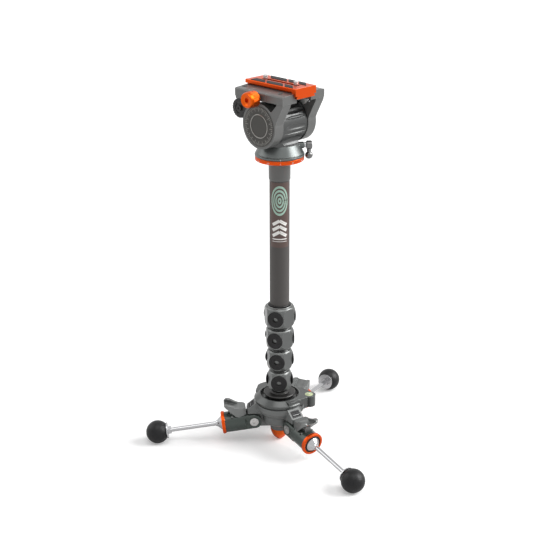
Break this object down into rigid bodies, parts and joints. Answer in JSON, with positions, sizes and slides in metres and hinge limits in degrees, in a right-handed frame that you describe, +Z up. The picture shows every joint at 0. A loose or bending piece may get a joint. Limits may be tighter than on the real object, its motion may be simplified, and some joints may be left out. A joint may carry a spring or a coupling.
{
  "type": "compact camera support",
  "caption": "Telescoping column with a fluid pan-and-tilt head and quick-release plate on top, standing on a folding three-legged foot with a tilting ball base.",
  "frame": {"origin": "column axis at floor level, at the flat tip of the bottom cap", "axes": "+Z up along the column, +Y the shooting direction along the camera plate, +X the right-hand side with the clamp knob"},
  "size_m": [0.3461, 0.3357, 0.5506],
  "materials": {
    "cast_grey": "satin grey-green metallic coat on castings",
    "ring_grey": "satin grey metallic coat",
    "leg_green_grey": "dark green-grey anodised sleeve",
    "orange_anodised": "satin orange anodising",
    "orange_knob": "bright satin orange anodising",
    "black_plastic": "black moulded plastic",
    "seat_plastic": "natural bearing plastic",
    "rubber": "black rubber with a fine grain",
    "steel": "polished steel",
    "dark_metal": "dark satin anodising",
    "carbon": "matt carbon-fibre composite",
    "lock_metal": "satin grey metallic coat",
    "bubble": "clear vial with pale yellow-green fluid",
    "dial_grey": "dark satin coat with fine relief",
    "skirt_metal": "satin grey-green metallic coat"
  },
  "bodies": {
    "foot": {"hub": "cast_grey", "lug_inserts": "black_plastic", "bottom_cap": "orange_anodised", "pivot_bolts": "steel"},
    "lock_ring": {"lock_ring": "ring_grey", "bubble_level": "bubble"},
    "ball_seat": {"ball_seat": "seat_plastic"},
    "tilt_ball": {"tilt_ball": "steel"},
    "section_5": {"column_flange": "dark_metal", "tube_5": "carbon", "tube_bush_5": "black_plastic"},
    "section_4": {"tube_4": "carbon", "tube_bush_4": "black_plastic"},
    "section_3": {"tube_3": "carbon", "tube_bush_3": "black_plastic"},
    "section_2": {"tube_2": "carbon", "tube_bush_2": "black_plastic"},
    "section_1": {"tube_1": "carbon", "tube_bush_1": "black_plastic", "top_collar": "dark_metal", "degree_ring": "orange_anodised"},
    "pan_head": {"pan_housing": "skirt_metal", "head_barrel": "cast_grey"},
    "pan_lever": {"pan_lock_lever": "cast_grey"},
    "tilt_lever": {"tilt_lock_lever": "cast_grey"},
    "tilt_head": {"tilt_cartridge": "steel", "side_plates": "cast_grey", "side_caps": "dial_grey", "handle_rosettes": "dark_metal", "tilt_platform": "cast_grey"},
    "clamp_jaw": {"clamp_jaw": "cast_grey"},
    "clamp_knob": {"clamp_knob": "orange_knob"},
    "safety_button": {"safety_button": "orange_anodised"},
    "camera_plate": {"quick_release_plate": "orange_anodised", "plate_pads": "rubber"},
    "front_screw": {"camera_screw_front": "steel"},
    "rear_screw": {"camera_screw_rear": "steel"},
    "leg_1": {"leg_body_1": "leg_green_grey", "leg_ring_1": "orange_anodised", "leg_rod_1": "steel", "foot_ball_1": "rubber"},
    "lever_1": {"release_lever_1": "ring_grey"},
    "leg_2": {"leg_body_2": "leg_green_grey", "leg_ring_2": "orange_anodised", "leg_rod_2": "steel", "foot_ball_2": "rubber"},
    "lever_2": {"release_lever_2": "ring_grey"},
    "leg_3": {"leg_body_3": "leg_green_grey", "leg_ring_3": "orange_anodised", "leg_rod_3": "steel", "foot_ball_3": "rubber"},
    "lever_3": {"release_lever_3": "ring_grey"},
    "twist_1": {"twist_lock_1": "lock_metal", "grip_pads_1": "rubber"},
    "twist_2": {"twist_lock_2": "lock_metal", "grip_pads_2": "rubber"},
    "twist_3": {"twist_lock_3": "lock_metal", "grip_pads_3": "rubber"},
    "twist_4": {"twist_lock_4": "lock_metal", "grip_pads_4": "rubber"}
  },
  "joints": [
    {"name": "leg_fold_1", "type": "hinge", "parent": "foot", "child": "leg_1", "pos_m": [0.00763, 0.03784, 0.035], "axis": [-0.9803, 0.1977, 0], "range_deg": [0, 80]},
    {"name": "leg_fold_2", "type": "hinge", "parent": "foot", "child": "leg_2", "pos_m": [-0.03658, -0.01231, 0.035], "axis": [0.319, -0.9478, 0], "range_deg": [0, 80]},
    {"name": "leg_fold_3", "type": "hinge", "parent": "foot", "child": "leg_3", "pos_m": [0.02895, -0.02553, 0.035], "axis": [0.6613, 0.7501, 0], "range_deg": [0, 80]},
    {"name": "lever_press_1", "type": "hinge", "parent": "leg_1", "child": "lever_1", "pos_m": [0.01415, 0.07016, 0.04235], "axis": [-0.9803, 0.1977, 0], "range_deg": [0, 8], "stiffness_Nm_per_rad": 0.6},
    {"name": "lever_press_2", "type": "hinge", "parent": "leg_2", "child": "lever_2", "pos_m": [-0.06783, -0.02283, 0.04235], "axis": [0.319, -0.9478, 0], "range_deg": [0, 8], "stiffness_Nm_per_rad": 0.6},
    {"name": "lever_press_3", "type": "hinge", "parent": "leg_3", "child": "lever_3", "pos_m": [0.05369, -0.04733, 0.04235], "axis": [0.6613, 0.7501, 0], "range_deg": [0, 8], "stiffness_Nm_per_rad": 0.6},
    {"name": "lock_ring_turn", "type": "hinge", "parent": "foot", "child": "lock_ring", "pos_m": [0, 0, 0.07], "axis": [0, 0, 1], "range_deg": [0, 25]},
    {"name": "base_tilt_side", "type": "hinge", "parent": "foot", "child": "ball_seat", "pos_m": [0, 0, 0.052], "axis": [0, 1, 0], "range_deg": [-7, 7]},
    {"name": "base_tilt_fore", "type": "hinge", "parent": "ball_seat", "child": "tilt_ball", "pos_m": [0, 0, 0.052], "axis": [1, 0, 0], "range_deg": [-7, 7]},
    {"name": "column_pan", "type": "hinge", "parent": "tilt_ball", "child": "section_5", "pos_m": [0, 0, 0.08], "axis": [0, 0, 1], "continuous": true},
    {"name": "section_4_slide", "type": "slide", "parent": "section_5", "child": "section_4", "axis": [0, 0, 1], "range_m": [0, 0.15]},
    {"name": "section_3_slide", "type": "slide", "parent": "section_4", "child": "section_3", "axis": [0, 0, 1], "range_m": [0, 0.15]},
    {"name": "section_2_slide", "type": "slide", "parent": "section_3", "child": "section_2", "axis": [0, 0, 1], "range_m": [0, 0.15]},
    {"name": "section_1_slide", "type": "slide", "parent": "section_2", "child": "section_1", "axis": [0, 0, 1], "range_m": [0, 0.15]},
    {"name": "twist_lock_1_turn", "type": "hinge", "parent": "section_1", "child": "twist_1", "pos_m": [0, 0, 0.2], "axis": [0, 0, 1], "range_deg": [0, 90]},
    {"name": "twist_lock_2_turn", "type": "hinge", "parent": "section_2", "child": "twist_2", "pos_m": [0, 0, 0.2], "axis": [0, 0, 1], "range_deg": [0, 90]},
    {"name": "twist_lock_3_turn", "type": "hinge", "parent": "section_3", "child": "twist_3", "pos_m": [0, 0, 0.2], "axis": [0, 0, 1], "range_deg": [0, 90]},
    {"name": "twist_lock_4_turn", "type": "hinge", "parent": "section_4", "child": "twist_4", "pos_m": [0, 0, 0.2], "axis": [0, 0, 1], "range_deg": [0, 90]},
    {"name": "head_pan", "type": "hinge", "parent": "section_1", "child": "pan_head", "pos_m": [0, 0, 0.45], "axis": [0, 0, 1], "continuous": true},
    {"name": "pan_lock_turn", "type": "hinge", "parent": "pan_head", "child": "pan_lever", "pos_m": [0, 0, 0.456], "axis": [-0.788, 0.6157, 0], "range_deg": [-30, 30]},
    {"name": "head_tilt", "type": "hinge", "parent": "pan_head", "child": "tilt_head", "pos_m": [0, 0, 0.4902], "axis": [-1, 0, 0], "range_deg": [-45, 60]},
    {"name": "tilt_lock_turn", "type": "hinge", "parent": "pan_head", "child": "tilt_lever", "pos_m": [0, 0, 0.4702], "axis": [0, -1, 0], "range_deg": [-30, 30]},
    {"name": "plate_slide", "type": "slide", "parent": "tilt_head", "child": "camera_plate", "axis": [0, 1, 0], "range_m": [-0.02, 0.02]},
    {"name": "clamp_jaw_slide", "type": "slide", "parent": "tilt_head", "child": "clamp_jaw", "axis": [1, 0, 0], "range_m": [0, 0.0012]},
    {"name": "clamp_knob_turn", "type": "hinge", "parent": "clamp_jaw", "child": "clamp_knob", "pos_m": [0.05, -0.0035, 0.5282], "axis": [1, 0, 0], "range_deg": [0, 540]},
    {"name": "safety_button_press", "type": "slide", "parent": "tilt_head", "child": "safety_button", "axis": [1, 0, 0], "range_m": [0, 0.0025], "stiffness_N_per_m": 900},
    {"name": "front_screw_slide", "type": "slide", "parent": "camera_plate", "child": "front_screw", "axis": [0, 1, 0], "range_m": [-0.018, 0.002]},
    {"name": "rear_screw_slide", "type": "slide", "parent": "camera_plate", "child": "rear_screw", "axis": [0, 1, 0], "range_m": [-0.001, 0.018]}
  ],
  "couplings": [
    {"joint": "clamp_knob_turn", "follows": "clamp_jaw_slide", "rad_per_m": 7854}
  ]
}
